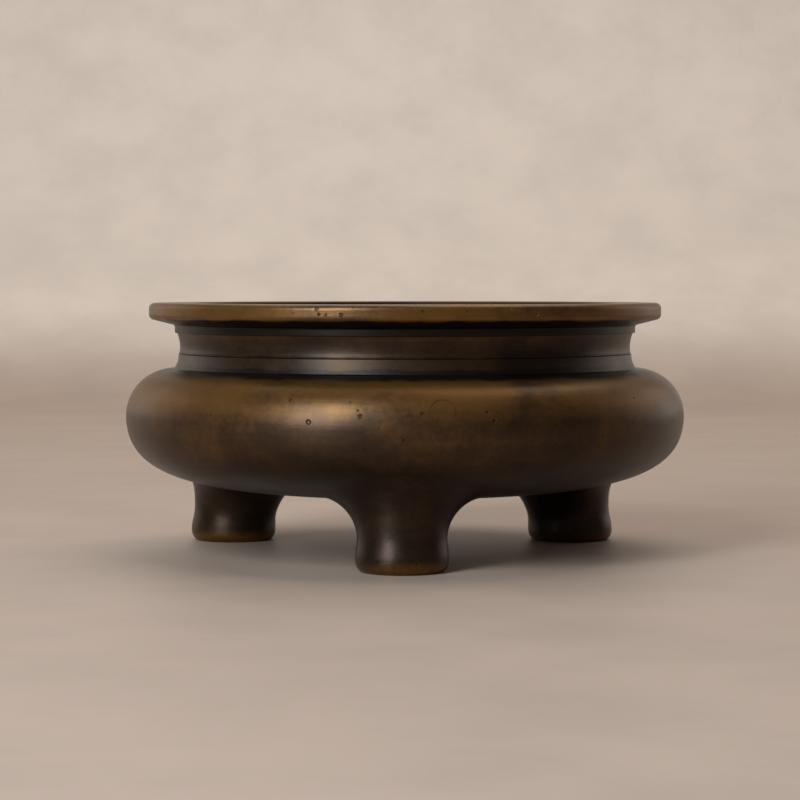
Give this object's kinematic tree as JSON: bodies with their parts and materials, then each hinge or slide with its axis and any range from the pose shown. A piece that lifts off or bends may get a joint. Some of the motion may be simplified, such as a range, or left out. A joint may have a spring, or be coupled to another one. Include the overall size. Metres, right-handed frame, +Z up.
{
  "type": "tripod incense burner",
  "caption": "Low wide-bellied bronze censer with a hollowed neck, a flat everted mouth rim and short flared column feet.",
  "frame": {"origin": "on the table, under the middle of the bowl", "axes": "+Z up through the mouth, -Y towards the front foot, +X to the right seen from the front"},
  "size_m": [0.18, 0.18, 0.08],
  "materials": {
    "bronze_patina": "aged brown patina, softly polished by handling, mottled and finely brushed",
    "bronze_rubbed": "patina rubbed back to golden brown on the rim",
    "bronze_dark": "dark brown patina in the hollow of the neck",
    "fired_clay": "rough fired casting core"
  },
  "bodies": {
    "root": {"bowl": "bronze_patina", "belly_plug": "bronze_patina", "neck_band": "bronze_dark", "mouth_rim": "bronze_rubbed", "foot_front": "bronze_patina", "foot_left": "bronze_patina", "foot_right": "bronze_patina", "foot_core_front": "fired_clay", "foot_core_left": "fired_clay", "foot_core_right": "fired_clay"}
  },
  "joints": []
}
